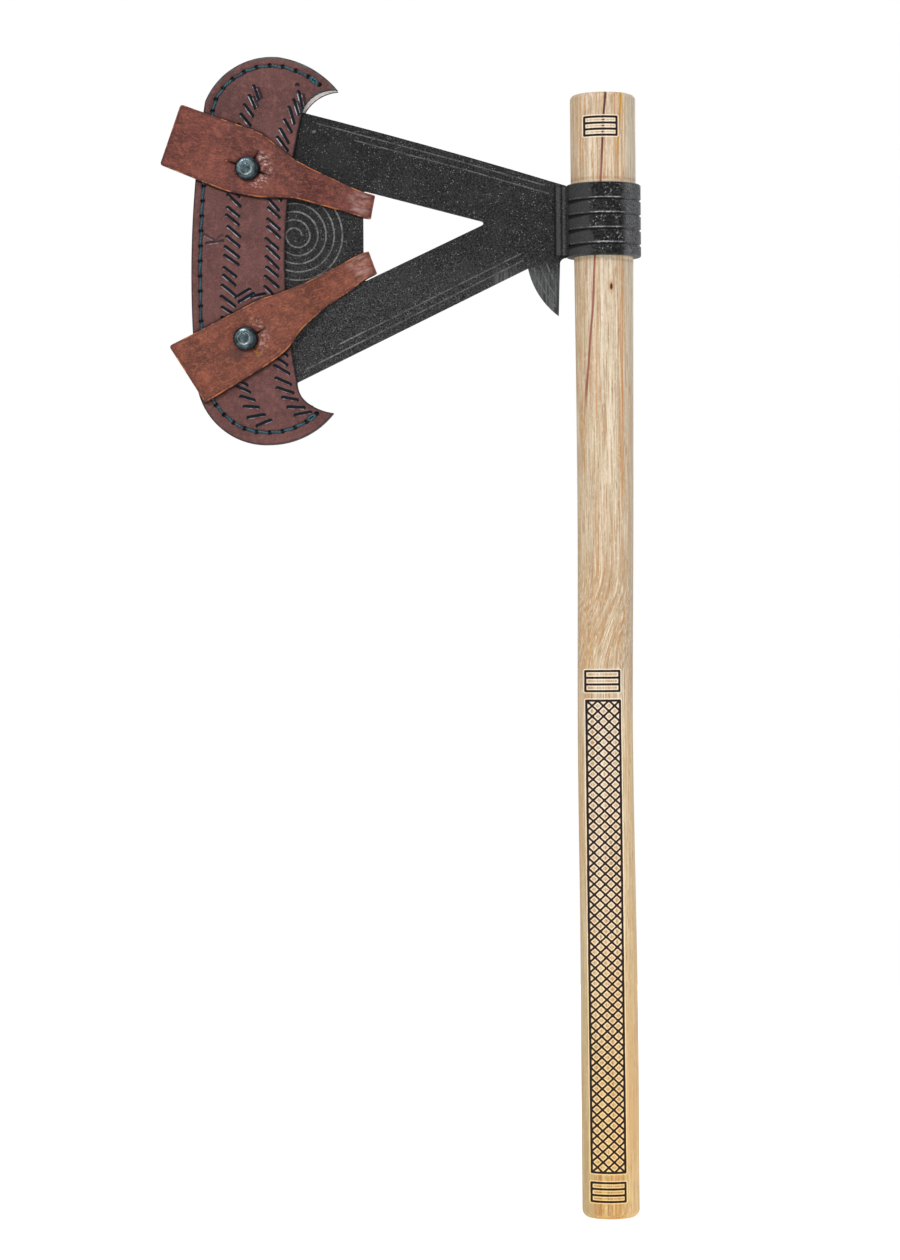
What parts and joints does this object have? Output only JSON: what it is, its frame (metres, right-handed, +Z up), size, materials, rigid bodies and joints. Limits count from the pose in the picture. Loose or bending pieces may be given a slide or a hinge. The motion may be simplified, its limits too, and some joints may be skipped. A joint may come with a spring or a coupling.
{
  "type": "axe",
  "caption": "One-hand axe: open A-frame steel head on a grooved ring socket, straight wooden haft, and a sewn leather edge guard with two studded straps.",
  "frame": {"origin": "centre of the haft's flat foot, on the haft's axis, where the grip starts", "axes": "+Z up along the haft, cutting edge towards -X, decorated face of the head towards -Y"},
  "size_m": [0.2589, 0.0404, 0.6284],
  "materials": {
    "haft_wood": "oiled, satin",
    "black_steel": "fine-textured matt powder coat",
    "guard_leather": "dark red-brown, burnished edges",
    "strap_leather": "red-brown, waxed",
    "welt_leather": "dark, burnished edge",
    "thread": "waxed thread",
    "stud_metal": "blued, worn",
    "rivet_metal": "gunmetal"
  },
  "bodies": {
    "axe": {"haft": "haft_wood", "socket_ring": "black_steel", "head_plate": "black_steel", "neck_weld_front": "black_steel", "neck_weld_back": "black_steel"},
    "guard": {"sheath_front_panel": "guard_leather", "sheath_back_panel": "guard_leather", "sheath_welt": "welt_leather", "sheath_stitching": "thread", "upper_strap_bend": "strap_leather", "upper_strap_tail": "strap_leather", "lower_strap_bend": "strap_leather", "lower_strap_tail": "strap_leather", "upper_stud": "stud_metal", "lower_stud": "stud_metal", "upper_stud_screw": "stud_metal", "lower_stud_screw": "stud_metal", "tail_rivet_caps": "rivet_metal", "tail_rivet_posts": "rivet_metal"},
    "upper_strap": {"upper_strap_tab": "strap_leather"},
    "lower_strap": {"lower_strap_tab": "strap_leather"}
  },
  "joints": [
    {"name": "guard_slide", "type": "slide", "parent": "axe", "child": "guard", "axis": [-1, 0, 0], "range_m": [0, 0.1]},
    {"name": "upper_strap_fold", "type": "hinge", "parent": "guard", "child": "upper_strap", "pos_m": [-0.1297, 0, 0.5413], "axis": [0.1908, 0, 0.9816], "range_deg": [0, 120], "deforming": ["upper_strap_bend"]},
    {"name": "lower_strap_fold", "type": "hinge", "parent": "guard", "child": "lower_strap", "pos_m": [-0.1263, 0, 0.5097], "axis": [-0.342, 0, 0.9397], "range_deg": [0, 120], "deforming": ["lower_strap_bend"]}
  ]
}
